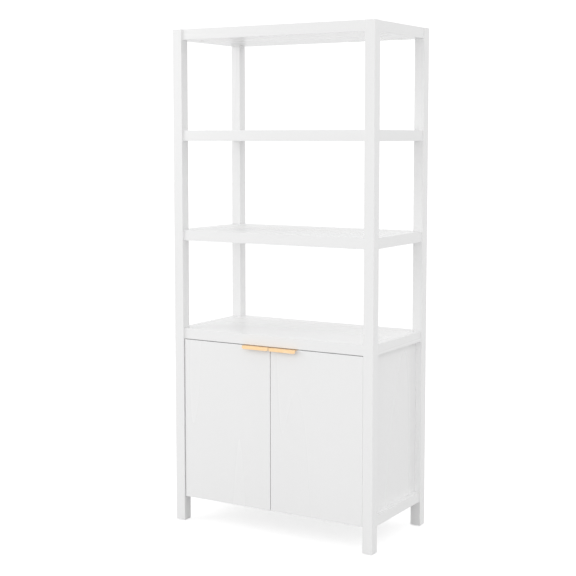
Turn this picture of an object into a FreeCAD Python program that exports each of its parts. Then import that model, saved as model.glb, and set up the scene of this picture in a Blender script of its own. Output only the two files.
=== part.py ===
import FreeCAD, Part
import math
import os

# Open bookcase over a two-door cabinet. Two ladder-like side frames, each of two square posts
# and five rails, are joined by five slabs of the same thickness as the posts.
# Millimetres. X runs across the front, Y from the front (-Y) to the back, Z up.
# The origin is on the floor, under the middle of the bookcase.

# ---- Driving dimensions: frame ----
height = 1800.0                # floor to the top of the posts
width = 815.0                  # over the outer faces of the posts
depth = 420.0                  # over the front and rear faces of the posts
post_side = 38.0               # square section of a post
slab_thickness = 38.0          # every slab and rail
level_pitch = 360.0            # top of one open level to the top of the next
leg_height = 91.0              # floor to the underside of the bottom slab
slab_set_back = 7.0            # slabs behind the front faces of the posts, and before their rear faces
rail_set_back = 4.5            # rails behind the outer side faces of the posts
edge_radius = 1.0              # eased edges of painted boards and posts
tenon_length = 14.0            # rail tenons in the posts
tenon_width = 14.0
tenon_height = 26.0
joint_clearance = 0.1          # round tenons, tongues, dowels, screws and pins in their seats
end_clearance = 0.5            # between the end of a tenon or tongue and the bottom of its seat
glide_thickness = 3.0
glide_diameter = 24.0
glide_bevel = 0.8
glide_pin_diameter = 4.0
glide_pin_length = 15.0

# ---- Driving dimensions: slab fittings ----
bolt_edge_distance = 42.0      # connecting bolt to the end of the rail
bolt_height = 14.0             # connecting bolt above the underside of the slab
bolt_diameter = 6.0
bolt_hole_diameter = 8.0       # in the slab
bolt_thread_length = 12.0      # in the rail
bolt_collar_diameter = 7.6     # collar that is screwed up to the face of the rail
bolt_collar_length = 1.2
bolt_neck_diameter = 4.0
bolt_head_diameter = 6.6
bolt_head_length = 3.0
cam_distance = 34.0            # centre of the cam to the end of the slab
cam_diameter = 14.8
cam_height = 19.0
cam_recess = 0.5               # face of the cam above the underside of the slab
cam_head_room = 0.3            # between the cam's chamber and the bolt's head
cam_cross_length = 8.0
cam_cross_width = 1.6
cam_cross_depth = 2.0
dowel_diameter = 8.0
dowel_slab_length = 22.0       # part of a dowel in the slab
dowel_rail_length = 14.0       # part of a dowel in the rail
dowel_chamfer = 0.8

# ---- Driving dimensions: cabinet ----
panel_thickness = 16.0         # side panels, flush with the inner faces of the posts
tongue_thickness = 6.0
tongue_length = 8.0
back_thickness = 5.0
back_inset = 14.0              # rear faces of the posts to the rear face of the back panel
back_groove_depth = 8.0
door_thickness = 18.0
door_set_back = 4.5            # doors behind the front faces of the posts
door_gap = 2.6                 # beside and between the doors
door_top_gap = 2.2             # between the doors and the deck
door_bottom_rise = 2.0         # lower edge of the doors above the underside of the bottom slab
door_slab_clearance = 2.0      # backs of the doors to the front edge of the bottom slab
notch_clearance = 1.5          # bottom slab's corner notches round the path of the doors' corners
shelf_thickness = 16.0         # adjustable shelf in the cabinet
shelf_clearance = 1.0          # beside and behind it
shelf_set_back = 24.0          # its front edge behind the backs of the doors
pin_diameter = 5.0             # shelf pins
pin_depth = 10.0
pin_stub_diameter = 7.0        # part of a pin that carries the shelf
pin_stub_length = 9.0
pin_chamfer = 0.6
pin_pitch = 32.0
pin_holes_per_row = 3
pin_row_distance = 37.0        # front row behind the backs of the doors, rear row before the back panel
bumper_diameter = 8.0
bumper_clearance = 0.3         # closed door to its bumper
bumper_from_middle = 60.0
bumper_rounding = 0.6

# ---- Driving dimensions: pulls ----
pull_length = 108.0
pull_thickness = 1.2
pull_reach = 14.5              # front face of the door to the front of the lip
pull_lip_height = 12.0
pull_tab_height = 22.0         # rear tab, down the back of the door
pull_bend = 1.2                # outer radius of the folds
pull_corner_radius = 6.0       # lower corners of lip and tab
pull_screw_spacing = 64.0
pull_screw_drop = 12.0         # screws below the door's upper edge

# ---- Driving dimensions: hinges ----
# u and v are counted from the front corner of a door's hinge edge: u along the door, v into the cabinet.
hinge_from_end = 90.0          # hinge centre to the upper or lower edge of the door
pivot_u = 16.5
pivot_v = 9.2
hinge_pin_diameter = 2.5
hinge_pin_clearance = 0.06     # running fit of the arm on its pin
eye_radius = 2.5               # knuckle of the arm
arm_thickness = 2.0
arm_width = 10.0
arm_clearance = 0.8            # between the arm and the path of the door's corner
arm_bend = 3.0                 # centre line radius of the arm's two bends
arm_rim_clearance = 1.5        # between the arm and the rim of the cup
arm_wrap_angle = 75.0          # where the arm leaves its path round the door's corner
arm_length = 72.0              # v of the arm's rear end
web_height = 9.0               # outer face of the arm above the side panel
cheek_thickness = 1.5          # folded sides of the arm
cheek_start = 37.0             # v of their front end
cheek_fold = 1.0               # outer radius of the folds
arm_seat_gap = 0.2             # between the arm's cheeks and the plate
cup_bore_diameter = 35.0
cup_front_wood = 5.5           # door left in front of the bore
cup_edge_distance = 4.0        # door edge to the bore
cup_wall = 1.2
cup_floor = 0.8
cup_flange_thickness = 1.2
cup_flange_rim = 1.5           # flange past the bore
cup_flange_rounding = 0.5
cup_wing_width = 14.0
cup_screw_pitch = 48.0
cup_screw_offset = 6.0         # screws past the middle of the cup
plate_thickness = 1.5
plate_rounding = 0.5
plate_line = 37.0              # plate screws behind the back of the door
plate_length = 34.0
plate_wing_width = 14.0
plate_screw_pitch = 32.0
arm_screw_spacing = 18.0
screw_diameter = 3.5           # every wood screw
screw_length = 11.0
screw_head_diameter = 7.0
screw_head_height = 1.8
arm_screw_diameter = 4.0

# ---- Places worked out from them ----
half_width = width / 2
half_depth = depth / 2
inner_x = half_width - post_side              # inner faces of posts, rails and side panels
rail_outer_x = half_width - rail_set_back
rail_half_length = half_depth - post_side
slab_front = -half_depth + slab_set_back
slab_rear = half_depth - slab_set_back
bolt_y = rail_half_length - bolt_edge_distance
cam_x = inner_x - cam_distance
door_front = -half_depth + door_set_back
door_back = door_front + door_thickness
bottom_slab_front = door_back + door_slab_clearance
levels = {
    "top": height,
    "upper": height - level_pitch,
    "middle": height - 2 * level_pitch,
    "deck": height - 3 * level_pitch,
    "bottom": leg_height + slab_thickness,
}
bottom_top = levels["bottom"]
deck_underside = levels["deck"] - slab_thickness
tenon_middle_x = (inner_x + rail_outer_x) / 2
panel_outer_x = inner_x + panel_thickness
tongue_x = inner_x + (panel_thickness - tongue_thickness) / 2
back_rear = half_depth - back_inset
back_front = back_rear - back_thickness
door_bottom = leg_height + door_bottom_rise
door_top = deck_underside - door_top_gap
door_width = (2 * inner_x - 3 * door_gap) / 2
hinge_edge_x = -inner_x + door_gap            # left door
hinge_heights = (door_bottom + hinge_from_end, door_top - hinge_from_end)
cup_u = cup_edge_distance + cup_bore_diameter / 2
cup_bore_depth = door_thickness - cup_front_wood
cup_outer_radius = cup_bore_diameter / 2 - joint_clearance
cup_inner_radius = cup_outer_radius - cup_wall
corner_path = max(math.hypot(pivot_u, pivot_v), math.hypot(pivot_u, door_thickness - pivot_v))
pin_rows = (door_back + pin_row_distance, back_front - pin_row_distance)
pin_middle_z = (bottom_top + deck_underside) / 2
plate_v = door_thickness + plate_line

along_x = FreeCAD.Vector(1, 0, 0)
along_y = FreeCAD.Vector(0, 1, 0)
along_z = FreeCAD.Vector(0, 0, 1)


def point(x, y, z):
    return FreeCAD.Vector(x, y, z)


def block(x0, y0, z0, x1, y1, z1):
    """Box between two opposite corners, given in any order."""
    low = point(min(x0, x1), min(y0, y1), min(z0, z1))
    return Part.makeBox(abs(x1 - x0), abs(y1 - y0), abs(z1 - z0), low)


def rod(diameter, start, direction, length):
    """Cylinder from start along a direction."""
    return Part.makeCylinder(diameter / 2, length, start, direction)


def mirrored(shape):
    """The same piece on the other side of the bookcase."""
    return shape.mirror(point(0, 0, 0), along_x)


def near(a, b):
    return abs(a - b) < 1e-6


def ease(shape, radius, wanted):
    """Rounds the straight edges for which wanted(start, end) is true."""
    chosen = []
    for edge in shape.Edges:
        start = edge.Vertexes[0].Point
        end = edge.Vertexes[-1].Point
        if edge.Curve.TypeId == "Part::GeomLine" and wanted(start, end):
            chosen.append(edge)
    return shape.makeFillet(radius, chosen)


def bevelled(shape, size):
    """A round bar with both of its ends bevelled."""
    ends = [edge for edge in shape.Edges if edge.isClosed()]
    return shape.makeChamfer(size, ends)


def edges_at(shape, axis, value):
    """Edges that lie whole in the plane where an axis, named x, y or z, has a value."""
    name = axis.upper()
    return [
        edge for edge in shape.Edges
        if near(getattr(edge.BoundBox, name + "Min"), value)
        and near(getattr(edge.BoundBox, name + "Max"), value)]


def along_width(start, end):
    """True for an edge parallel to X."""
    return near(start.y, end.y) and near(start.z, end.z)


def save(node, *solids):
    """Writes one node; the like pieces of a node stay separate solids."""
    shape = solids[0] if len(solids) == 1 else Part.makeCompound(list(solids))
    shape.exportStep("parts/" + node + ".step")


def tenon(end, middle_z, clearance, end_room):
    """Right-hand rail tenon, or its mortise when it is grown by a clearance."""
    half_x = tenon_width / 2 + clearance
    half_z = tenon_height / 2 + clearance
    return block(
        tenon_middle_x - half_x, end * rail_half_length, middle_z - half_z,
        tenon_middle_x + half_x, end * (rail_half_length + tenon_length + end_room), middle_z + half_z)


# ---- Posts: square, from glide to top, one piece each ----
def post(end):
    """Right-hand post, at the front for end -1 and at the rear for end 1."""
    joint_y = end * rail_half_length
    shape = block(inner_x, joint_y, glide_thickness, half_width, end * half_depth, height)
    shape = ease(shape, edge_radius, lambda a, b: not near(a.z, b.z) or near(a.z, height))
    for top in levels.values():
        shape = shape.cut(tenon(end, top - slab_thickness / 2, joint_clearance, end_clearance))
    panel_groove = block(
        tongue_x - joint_clearance, joint_y, bottom_top,
        tongue_x + tongue_thickness + joint_clearance, joint_y + end * tongue_length, deck_underside)
    shape = shape.cut(panel_groove)
    if end > 0:
        shape = shape.cut(back_groove(inner_x, inner_x + back_groove_depth))
    glide_hole = rod(
        glide_pin_diameter + 2 * joint_clearance, post_middle(end), along_z,
        glide_pin_length + end_clearance)
    return shape.cut(glide_hole)


def post_middle(end):
    """Middle of the lower end of a right-hand post."""
    return point(half_width - post_side / 2, end * (half_depth - post_side / 2), glide_thickness)


def back_groove(x0, x1):
    """Room for the back panel between two values of x, as high as its grooves reach."""
    return block(
        x0, back_front - joint_clearance, bottom_top - back_groove_depth,
        x1, back_rear + joint_clearance, deck_underside + back_groove_depth)


def glide(end):
    """Plastic disc under a right-hand post, with its pin driven into the post."""
    middle = post_middle(end)
    disc = rod(glide_diameter, point(middle.x, middle.y, 0), along_z, glide_thickness)
    lower_edge = [edge for edge in disc.Edges if near(edge.BoundBox.ZMax, 0)]
    disc = disc.makeChamfer(glide_bevel, lower_edge)
    return disc.fuse(rod(glide_pin_diameter, middle, along_z, glide_pin_length))


# ---- Rails: short members of the side frames, one beside each slab ----
def rail(level):
    """Right-hand rail with a tenon at each end and the seats of two bolts and a dowel."""
    top = levels[level]
    under = top - slab_thickness
    middle = top - slab_thickness / 2
    shape = block(inner_x, -rail_half_length, under, rail_outer_x, rail_half_length, top)
    shape = ease(
        shape, edge_radius,
        lambda a, b: near(a.z, b.z) and near(a.x, rail_outer_x) and near(b.x, rail_outer_x))
    for end in (-1, 1):
        shape = shape.fuse(tenon(end, middle, 0, 0))
        shape = shape.cut(rod(
            bolt_diameter + 2 * joint_clearance, point(inner_x, end * bolt_y, under + bolt_height),
            along_x, bolt_thread_length + end_clearance))
    shape = shape.cut(dowel_hole(middle))
    if level == "deck":
        shape = shape.cut(panel_slot(under, under + tongue_length))
    if level == "bottom":
        shape = shape.cut(panel_slot(top, top - tongue_length))
    return shape


def panel_slot(z0, z1):
    """Groove in a rail for the side panel's upper or lower tongue."""
    return block(
        tongue_x - joint_clearance, -rail_half_length, z0,
        tongue_x + tongue_thickness + joint_clearance, rail_half_length, z1)


def dowel_hole(middle_z):
    """Hole for a right-hand dowel, part in the slab and part in the rail."""
    start = point(inner_x - dowel_slab_length - end_clearance, 0, middle_z)
    length = dowel_slab_length + dowel_rail_length + 2 * end_clearance
    return rod(dowel_diameter + 2 * joint_clearance, start, along_x, length)


def dowel(middle_z):
    """Right-hand dowel between slab and rail."""
    start = point(inner_x - dowel_slab_length, 0, middle_z)
    shape = rod(dowel_diameter, start, along_x, dowel_slab_length + dowel_rail_length)
    return bevelled(shape, dowel_chamfer)


# ---- Slabs: the shelves, top, deck and cabinet floor ----
def slab(level):
    """Slab between the side frames, bored for its bolts, cams and dowels."""
    top = levels[level]
    under = top - slab_thickness
    front = bottom_slab_front if level == "bottom" else slab_front
    shape = block(-inner_x, front, under, inner_x, slab_rear, top)
    shape = ease(shape, edge_radius, along_width)
    if level == "bottom":
        notch = corner_notch(under, top)
        shape = shape.cut(notch).cut(mirrored(notch))
    seats = [dowel_hole(top - slab_thickness / 2)]
    for y in (-bolt_y, bolt_y):
        seats.append(rod(
            cam_diameter + 2 * joint_clearance, point(cam_x, y, under), along_z,
            cam_recess + cam_height + end_clearance))
        seats.append(rod(
            bolt_hole_diameter, point(cam_x, y, under + bolt_height), along_x, cam_distance))
    for seat in seats:
        shape = shape.cut(seat).cut(mirrored(seat))
    if level in ("deck", "bottom"):
        shape = shape.cut(back_groove(-inner_x, inner_x))
    return shape


def corner_notch(z0, z1):
    """Room in the left front corner of the bottom slab for the corner of the swinging door."""
    reach = corner_path + notch_clearance
    return block(
        -inner_x, bottom_slab_front, z0,
        hinge_edge_x + pivot_u + reach, door_front + pivot_v + reach, z1)


def connecting_bolt(level, y):
    """Right-hand bolt: threaded into the rail, its head held by the cam in the slab."""
    z = levels[level] - slab_thickness + bolt_height
    head_start = cam_x + cam_head_room
    neck_start = head_start + bolt_head_length
    shank_start = cam_x + cam_diameter / 2 + 1
    shape = rod(bolt_head_diameter, point(head_start, y, z), along_x, bolt_head_length)
    shape = shape.fuse(rod(
        bolt_neck_diameter, point(neck_start, y, z), along_x, shank_start - neck_start))
    shape = shape.fuse(rod(
        bolt_collar_diameter, point(inner_x - bolt_collar_length, y, z), along_x, bolt_collar_length))
    return shape.fuse(rod(
        bolt_diameter, point(shank_start, y, z), along_x, inner_x + bolt_thread_length - shank_start))


def cam_lock(level, y):
    """Right-hand cam: a drum with a chamber for the bolt's head and a cross for the driver."""
    face_z = levels[level] - slab_thickness + cam_recess
    bolt_z = levels[level] - slab_thickness + bolt_height
    shape = rod(cam_diameter, point(cam_x, y, face_z), along_z, cam_height)
    chamber = bolt_head_diameter / 2 + cam_head_room
    slot = bolt_neck_diameter / 2 + cam_head_room
    shape = shape.cut(block(
        cam_x, y - chamber, bolt_z - chamber,
        cam_x + bolt_head_length + 2 * cam_head_room, y + chamber, bolt_z + chamber))
    shape = shape.cut(block(
        cam_x, y - slot, bolt_z - slot, cam_x + cam_diameter, y + slot, bolt_z + slot))
    long_half = cam_cross_length / 2
    wide_half = cam_cross_width / 2
    for half_x, half_y in ((long_half, wide_half), (wide_half, long_half)):
        shape = shape.cut(block(
            cam_x - half_x, y - half_y, face_z, cam_x + half_x, y + half_y, face_z + cam_cross_depth))
    return shape


# ---- Cabinet walls ----
def side_panel():
    """Right-hand panel with a tongue on all four sides, drilled for shelf pins and hinge plates."""
    shape = block(
        inner_x, -rail_half_length, bottom_top, panel_outer_x, rail_half_length, deck_underside)
    reach = tongue_length - end_clearance
    tongue_outer_x = tongue_x + tongue_thickness
    shape = shape.fuse(block(
        tongue_x, -rail_half_length - reach, bottom_top,
        tongue_outer_x, rail_half_length + reach, deck_underside))
    shape = shape.fuse(block(
        tongue_x, -rail_half_length, bottom_top - reach,
        tongue_outer_x, rail_half_length, deck_underside + reach))
    for y in pin_rows:
        for z in pin_hole_heights():
            shape = shape.cut(rod(
                pin_diameter + 2 * joint_clearance, point(inner_x, y, z), along_x,
                pin_depth + end_clearance))
    for z in hinge_heights:
        for screw_z in (z - plate_screw_pitch / 2, z + plate_screw_pitch / 2):
            shape = shape.cut(rod(
                screw_diameter + 2 * joint_clearance, point(inner_x, door_front + plate_v, screw_z),
                along_x, screw_length))
    return shape


def pin_hole_heights():
    lowest = pin_middle_z - pin_pitch * (pin_holes_per_row - 1) / 2
    return [lowest + pin_pitch * step for step in range(pin_holes_per_row)]


def back_panel():
    """Thin board in the grooves of the rear posts, the deck and the bottom slab."""
    half = inner_x + back_groove_depth - end_clearance
    low = bottom_top - back_groove_depth + end_clearance
    high = deck_underside + back_groove_depth - end_clearance
    return block(-half, back_front, low, half, back_rear, high)


def inner_shelf():
    """Adjustable shelf, which lies on the stubs of its four pins."""
    underside = pin_middle_z + pin_stub_diameter / 2
    half = inner_x - shelf_clearance
    shape = block(
        -half, door_back + shelf_set_back, underside,
        half, back_front - shelf_clearance, underside + shelf_thickness)
    return ease(shape, edge_radius, along_width)


def shelf_pin(y):
    """Right-hand pin: thin in its hole, thicker where the shelf lies on it."""
    seated = rod(
        pin_diameter, point(inner_x - pin_chamfer, y, pin_middle_z), along_x, pin_depth + pin_chamfer)
    stub = rod(
        pin_stub_diameter, point(inner_x - pin_stub_length, y, pin_middle_z), along_x, pin_stub_length)
    return bevelled(seated, pin_chamfer).fuse(bevelled(stub, pin_chamfer))


def door_bumper():
    """Right-hand bumper on the front edge of the bottom slab."""
    thickness = door_slab_clearance - bumper_clearance
    start = point(bumper_from_middle, bottom_slab_front, bottom_top - slab_thickness / 2)
    shape = rod(bumper_diameter, start, point(0, -1, 0), thickness)
    front_edge = [edge for edge in shape.Edges if near(edge.BoundBox.YMax, start.y - thickness)]
    return shape.makeFillet(bumper_rounding, front_edge)


# ---- Doors and pulls, made for the left and mirrored for the right ----
def door_point(u, v, z):
    """Place counted from the front corner of the left door's hinge edge."""
    return point(hinge_edge_x + u, door_front + v, z)


def door():
    """Left door, bored for its hinge cups, with pilot holes for its screws."""
    start = door_point(0, 0, door_bottom)
    shape = Part.makeBox(door_width, door_thickness, door_top - door_bottom, start)
    shape = shape.makeFillet(edge_radius, shape.Edges)
    outward = point(0, -1, 0)
    for z in hinge_heights:
        shape = shape.cut(rod(
            cup_bore_diameter, door_point(cup_u, door_thickness, z), outward, cup_bore_depth))
        for screw in cup_screw_places(z):
            shape = shape.cut(rod(screw_diameter + 2 * joint_clearance, screw, outward, screw_length))
    for screw in pull_screw_places():
        shape = shape.cut(rod(screw_diameter + 2 * joint_clearance, screw, outward, screw_length))
    return shape


def cup_screw_places(z):
    half = cup_screw_pitch / 2
    return [door_point(cup_u + cup_screw_offset, door_thickness, z + side * half) for side in (-1, 1)]


def pull_screw_places():
    middle = door_width - pull_length / 2
    half = pull_screw_spacing / 2
    z = door_top - pull_screw_drop
    return [door_point(middle + side * half, door_thickness, z) for side in (-1, 1)]


def pull():
    """Left pull: a brass strip folded over the door's upper edge, with a lip to draw on."""
    lip_front = -pull_reach
    tab_rear = door_thickness + pull_thickness
    upper = door_top + pull_thickness
    lip_bottom = upper - pull_lip_height
    tab_bottom = upper - pull_tab_height
    outline = [
        (lip_front, lip_bottom), (lip_front, upper), (tab_rear, upper), (tab_rear, tab_bottom),
        (door_thickness, tab_bottom), (door_thickness, door_top),
        (lip_front + pull_thickness, door_top), (lip_front + pull_thickness, lip_bottom),
    ]
    start_u = door_width - pull_length
    corners = [door_point(start_u, v, z) for v, z in outline]
    face = Part.Face(Part.makePolygon(corners + corners[:1]))
    shape = face.extrude(point(pull_length, 0, 0))
    shape = ease(shape, pull_bend, lambda a, b: along_width(a, b) and near(a.z, upper))
    shape = ease(
        shape, pull_corner_radius,
        lambda a, b: near(a.x, b.x) and near(a.z, b.z)
        and (near(a.z, lip_bottom) or near(a.z, tab_bottom)))
    for screw in pull_screw_places():
        shape = shape.cut(rod(
            screw_diameter + 2 * joint_clearance, screw, along_y, pull_thickness))
    return shape


def wood_screw(place, direction, grip):
    """Screw with its core in the wood at place, its head raised by the thickness that it grips."""
    core = rod(screw_diameter, place, direction, screw_length - end_clearance)
    shank = rod(screw_diameter, place, direction.negative(), grip)
    head = rod(
        screw_head_diameter, place - direction * grip, direction.negative(), screw_head_height)
    return core.fuse(shank).fuse(head)


# ---- Hinges: one pivot in a cup, reached by an arm that wraps round the door's corner ----
def cup(z):
    """Left hinge cup with its flange and two wings."""
    floor_v = cup_front_wood + joint_clearance
    shape = rod(
        2 * cup_outer_radius, door_point(cup_u, floor_v, z), along_y, door_thickness - floor_v)
    shape = shape.fuse(rod(
        cup_bore_diameter + 2 * cup_flange_rim, door_point(cup_u, door_thickness, z), along_y,
        cup_flange_thickness))
    for screw in cup_screw_places(z):
        shape = shape.fuse(rod(cup_wing_width, screw, along_y, cup_flange_thickness))
    wing_start = door_point(
        cup_u + cup_screw_offset - cup_wing_width / 2, door_thickness, z - cup_screw_pitch / 2)
    shape = shape.fuse(Part.makeBox(cup_wing_width, cup_flange_thickness, cup_screw_pitch, wing_start))
    shape = shape.removeSplitter()
    shape = shape.makeFillet(
        cup_flange_rounding, edges_at(shape, "y", door_back + cup_flange_thickness))
    shape = shape.cut(rod(
        2 * cup_inner_radius, door_point(cup_u, floor_v + cup_floor, z), along_y,
        cup_bore_depth + cup_flange_thickness))
    for place in cup_screw_places(z):
        shape = shape.cut(rod(
            screw_diameter + 2 * joint_clearance, place, along_y, cup_flange_thickness))
    pin_hole = rod(
        hinge_pin_diameter + 2 * joint_clearance,
        door_point(pivot_u, pivot_v, z - cup_bore_diameter / 2), along_z, cup_bore_diameter)
    return shape.cut(pin_hole)


def cup_pin(z):
    """Left hinge pin, across the cup from wall to wall."""
    wall_radius = (cup_outer_radius + cup_inner_radius) / 2
    half = math.sqrt(wall_radius ** 2 - (cup_u - pivot_u) ** 2)
    return rod(hinge_pin_diameter, door_point(pivot_u, pivot_v, z - half), along_z, 2 * half)


def polar(radius, degrees):
    """Point at a radius and angle about a hinge's pivot, at z 0."""
    angle = math.radians(degrees)
    return door_point(pivot_u + radius * math.cos(angle), pivot_v + radius * math.sin(angle), 0)


def bend(start, centre, end):
    """Arc of a bend from start to end, on the far side of the centre from the chord."""
    middle = (start + end) * 0.5 - centre
    middle.normalize()
    return Part.Arc(start, centre + middle * (start - centre).Length, end).toShape()


def leg_angle():
    """Direction in which an arm leaves its cup, from the door's back: close past the cup's rim."""
    rim_u = cup_u + math.sqrt(cup_inner_radius ** 2 - (arm_width / 2) ** 2) - pivot_u
    rim_v = door_thickness + cup_flange_thickness - pivot_v
    gap = arm_thickness / 2 + arm_rim_clearance
    return math.degrees(math.atan2(rim_v, rim_u) + math.asin(gap / math.hypot(rim_u, rim_v)))


def arm_line():
    """Centre line of an arm: out of the cup, round the door's corner, then along the side panel."""
    wrap = corner_path + arm_clearance + arm_thickness / 2
    inner = wrap - arm_bend
    lead = math.degrees(math.asin(arm_bend / inner))
    leg = leg_angle()
    wrap_start = leg + lead
    leg_end = polar(inner * math.cos(math.radians(lead)), leg)
    wrap_end = polar(wrap, arm_wrap_angle)
    web_x = -inner_x + web_height - arm_thickness / 2
    turn = math.radians(arm_wrap_angle)
    run = (wrap_end.x - web_x) / math.sin(turn)
    heading = point(-math.sin(turn), math.cos(turn), 0)
    corner = wrap_end + heading * run
    trim = arm_bend * math.tan(turn / 2)
    bend_start = corner - heading * trim
    bend_end = corner + along_y * trim
    rear_end = point(web_x, door_front + arm_length, 0)
    return Part.Wire([
        Part.makeLine(polar(0, 0), leg_end),
        bend(leg_end, polar(inner, wrap_start), polar(wrap, wrap_start)),
        bend(polar(wrap, wrap_start), polar(0, 0), wrap_end),
        Part.makeLine(wrap_end, bend_start),
        bend(bend_start, bend_end + along_x * arm_bend, bend_end),
        Part.makeLine(bend_end, rear_end),
    ])


def arm(z):
    """Left hinge arm: a pressed strip with an eye on the pin, and behind it folded cheeks over the
    plate, with a hole for the front screw and an open slot that slides under the rear one."""
    strip = Part.Face(arm_line().makeOffset2D(arm_thickness / 2)).extrude(point(0, 0, arm_width))
    eye = Part.makeCylinder(eye_radius, arm_width, polar(0, 0))
    shape = strip.fuse(eye)
    shape.translate(point(0, 0, z - arm_width / 2))
    web_x = -inner_x + web_height
    half = boss_half_width() + arm_seat_gap + cheek_thickness
    body = block(
        -inner_x + plate_thickness + arm_seat_gap, door_front + cheek_start, z - half,
        web_x, door_front + arm_length, z + half)
    channel = block(
        -inner_x, door_front + cheek_start, z - half + cheek_thickness,
        web_x - arm_thickness, door_front + arm_length, z + half - cheek_thickness)
    body = ease(
        body, cheek_fold,
        lambda a, b: near(a.x, web_x) and near(b.x, web_x) and near(a.z, b.z))
    shape = shape.fuse(body.cut(channel)).removeSplitter()
    shape = shape.cut(rod(
        hinge_pin_diameter + 2 * hinge_pin_clearance, polar(0, 0) + along_z * (z - arm_width),
        along_z, 2 * arm_width))
    hole_diameter = arm_screw_diameter + 2 * joint_clearance
    front_screw, rear_screw = arm_screw_places(z)
    for place in (front_screw, rear_screw):
        shape = shape.cut(rod(hole_diameter, place, along_x, web_height))
    open_slot = block(
        -inner_x, rear_screw.y, z - hole_diameter / 2,
        web_x, door_front + arm_length, z + hole_diameter / 2)
    return shape.cut(open_slot)


def boss_half_width():
    """Half the width of a plate's raised middle, which the cheeks of an arm straddle."""
    return arm_width / 2


def arm_screw_places(z):
    half = arm_screw_spacing / 2
    return [point(-inner_x, door_front + plate_v + side * half, z) for side in (-1, 1)]


def arm_screw(place):
    """Machine screw through an arm's web into the plate's raised middle."""
    start = place + along_x * plate_thickness
    shape = rod(arm_screw_diameter, start, along_x, web_height - plate_thickness)
    return shape.fuse(rod(
        screw_head_diameter, place + along_x * web_height, along_x, screw_head_height))


def hinge_plate(z):
    """Left mounting plate: a cross with a raised middle, screwed to the side panel."""
    v0 = plate_v - plate_length / 2
    v1 = plate_v + plate_length / 2
    half = boss_half_width()
    foot_half = half + arm_seat_gap + cheek_thickness
    x0 = -inner_x
    x1 = x0 + plate_thickness
    shape = block(x0, door_front + v0, z - foot_half, x1, door_front + v1, z + foot_half)
    wing_half = plate_wing_width / 2
    middle_y = door_front + plate_v
    shape = shape.fuse(block(
        x0, middle_y - wing_half, z - plate_screw_pitch / 2,
        x1, middle_y + wing_half, z + plate_screw_pitch / 2))
    for screw in plate_screw_places(z):
        shape = shape.fuse(rod(plate_wing_width, screw, along_x, plate_thickness))
    shape = shape.removeSplitter()
    shape = shape.makeFillet(plate_rounding, edges_at(shape, "x", x1))
    boss_x = x0 + web_height - arm_thickness
    boss = block(
        x1, door_front + v0 + plate_rounding, z - half, boss_x, door_front + v1 - plate_rounding, z + half)
    boss = boss.makeFillet(plate_rounding, edges_at(boss, "x", boss_x))
    shape = shape.fuse(boss)
    for screw in plate_screw_places(z):
        shape = shape.cut(rod(screw_diameter + 2 * joint_clearance, screw, along_x, plate_thickness))
    for place in arm_screw_places(z):
        shape = shape.cut(rod(
            arm_screw_diameter + 2 * joint_clearance, place + along_x * plate_thickness,
            along_x, web_height))
    return shape


def plate_screw_places(z):
    half = plate_screw_pitch / 2
    return [point(-inner_x, door_front + plate_v, z + side * half) for side in (-1, 1)]


# ---- Files, one for each node ----
def save_both(name, solids):
    """Saves left-hand pieces and their mirror images as two nodes."""
    save("left_" + name, *solids)
    save("right_" + name, *[mirrored(solid) for solid in solids])


def on_both_sides(solids):
    return solids + [mirrored(solid) for solid in solids]


os.makedirs("parts", exist_ok=True)

for place, end in (("front", -1), ("rear", 1)):
    right_post = post(end)
    save(place + "_right_post", right_post)
    save(place + "_left_post", mirrored(right_post))

slab_names = {
    "top": "top_slab",
    "upper": "upper_shelf",
    "middle": "middle_shelf",
    "deck": "deck_slab",
    "bottom": "bottom_slab",
}
for level, name in slab_names.items():
    save(name, slab(level))
    right_rail = rail(level)
    save("right_" + level + "_rail", right_rail)
    save("left_" + level + "_rail", mirrored(right_rail))

right_panel = side_panel()
save("right_side_panel", right_panel)
save("left_side_panel", mirrored(right_panel))
save("back_panel", back_panel())
save("inner_shelf", inner_shelf())
save("shelf_pins", *on_both_sides([shelf_pin(y) for y in pin_rows]))
save("door_bumpers", *on_both_sides([door_bumper()]))
save("glides", *on_both_sides([glide(end) for end in (-1, 1)]))

bolts = [connecting_bolt(level, y) for level in levels for y in (-bolt_y, bolt_y)]
cams = [cam_lock(level, y) for level in levels for y in (-bolt_y, bolt_y)]
dowels = [dowel(top - slab_thickness / 2) for top in levels.values()]
save("connecting_bolts", *on_both_sides(bolts))
save("cam_locks", *on_both_sides(cams))
save("slab_dowels", *on_both_sides(dowels))

into_door = point(0, -1, 0)
into_panel = point(-1, 0, 0)
save_both("door", [door()])
save_both("pull", [pull()])
save_both("pull_screws", [wood_screw(p, into_door, pull_thickness) for p in pull_screw_places()])
save_both("hinge_cups", [cup(z) for z in hinge_heights])
save_both("cup_pins", [cup_pin(z) for z in hinge_heights])
save_both("cup_screws", [
    wood_screw(p, into_door, cup_flange_thickness) for z in hinge_heights for p in cup_screw_places(z)])
save_both("hinge_arms", [arm(z) for z in hinge_heights])
save_both("arm_screws", [arm_screw(p) for z in hinge_heights for p in arm_screw_places(z)])
save_both("hinge_plates", [hinge_plate(z) for z in hinge_heights])
save_both("plate_screws", [
    wood_screw(p, into_panel, plate_thickness) for z in hinge_heights for p in plate_screw_places(z)])
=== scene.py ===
import math

import bmesh
import bpy
from mathutils import Matrix, Vector


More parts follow.
